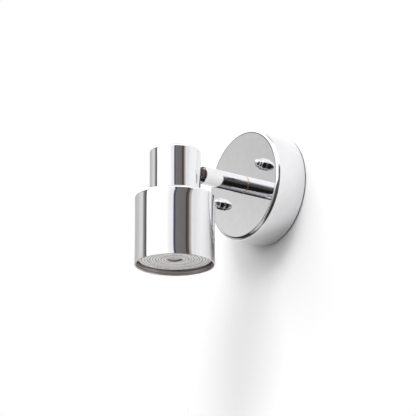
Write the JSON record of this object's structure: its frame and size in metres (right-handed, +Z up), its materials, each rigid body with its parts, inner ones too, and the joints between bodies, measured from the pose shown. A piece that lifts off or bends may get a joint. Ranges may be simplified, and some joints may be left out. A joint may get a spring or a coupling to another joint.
{
  "type": "pivoting spotlight wall light",
  "caption": "Wall spotlight: a two-step cylindrical lamp head on a short arm that swivels in a round base, with a tilting hinge between arm and head.",
  "frame": {"origin": "on the wall, at the centre of the round base, midway between the two slots for the wall screws", "axes": "+Y points into the wall, so the light stands out along -Y; +Z is up; +X is to the right of someone who faces the wall"},
  "size_m": [0.08, 0.1117, 0.1091],
  "materials": {
    "chrome": "bright polished chrome plate",
    "zinc_steel": "bright zinc-plated steel",
    "dark_steel": "blackened steel, satin",
    "brass": "turned brass",
    "nylon": "natural nylon, matt",
    "white_plastic": "moulded plastic, satin",
    "lamp_plastic": "moulded plastic, low gloss",
    "ceramic": "unglazed steatite",
    "glass_sleeve": "braided glass-fibre sleeve",
    "live_insulation": "silicone insulation, brown",
    "neutral_insulation": "silicone insulation, blue",
    "earth_insulation": "silicone insulation, green and yellow",
    "foam": "closed-cell foam",
    "lens": "pebbled clear plastic optic, seen unlit",
    "board": "white solder mask",
    "nickel": "warm nickel plate"
  },
  "bodies": {
    "base": {"wall_bracket": "zinc_steel", "bracket_studs": "zinc_steel", "stud_locknuts": "zinc_steel", "base_cover": "chrome", "base_gasket": "foam", "cap_nut_washers": "chrome", "cap_nuts": "chrome", "swivel_washer": "nickel", "terminal_block": "white_plastic", "terminal_barrels": "brass", "terminal_screws": "zinc_steel", "block_screw": "zinc_steel", "base_earth_screw": "brass", "base_earth_tag": "zinc_steel", "base_live_lead": "live_insulation", "base_neutral_lead": "neutral_insulation", "base_earth_lead": "earth_insulation"},
    "arm": {"arm_tube": "chrome", "arm_root_bush": "brass", "arm_nipple": "brass", "friction_washer": "zinc_steel", "spring_washer": "zinc_steel", "arm_locknut": "zinc_steel", "nipple_bush": "white_plastic", "arm_knuckle": "dark_steel", "arm_lead_sleeve": "glass_sleeve"},
    "head": {"head_yoke": "dark_steel", "pivot_rivets": "dark_steel", "pivot_washers": "nylon", "yoke_rivets": "chrome", "upper_can": "chrome", "lower_can": "chrome", "holder_bracket": "zinc_steel", "lampholder": "ceramic", "holder_contacts": "brass", "holder_screws": "zinc_steel", "head_earth_screw": "brass", "head_earth_tag": "zinc_steel", "head_lead_sleeve": "glass_sleeve", "head_live_lead": "live_insulation", "head_neutral_lead": "neutral_insulation", "head_earth_lead": "earth_insulation"},
    "lamp": {"lamp_body": "lamp_plastic", "lamp_neck": "lamp_plastic", "lamp_pins": "nickel", "lamp_board": "board", "lamp_lens": "lens", "lamp_lens_centre": "lens"}
  },
  "joints": [
    {"name": "arm_swivel", "type": "hinge", "parent": "base", "child": "arm", "pos_m": [0, -0.025, 0], "axis": [0, -1, 0], "range_deg": [-170, 170]},
    {"name": "head_tilt", "type": "hinge", "parent": "arm", "child": "head", "pos_m": [0, -0.06375, 0], "axis": [-1, 0, 0], "range_deg": [-30, 40]},
    {"name": "lamp_twist", "type": "hinge", "parent": "head", "child": "lamp", "pos_m": [0, -0.084, -0.04], "axis": [0, 0, -1], "range_deg": [0, 18]}
  ]
}
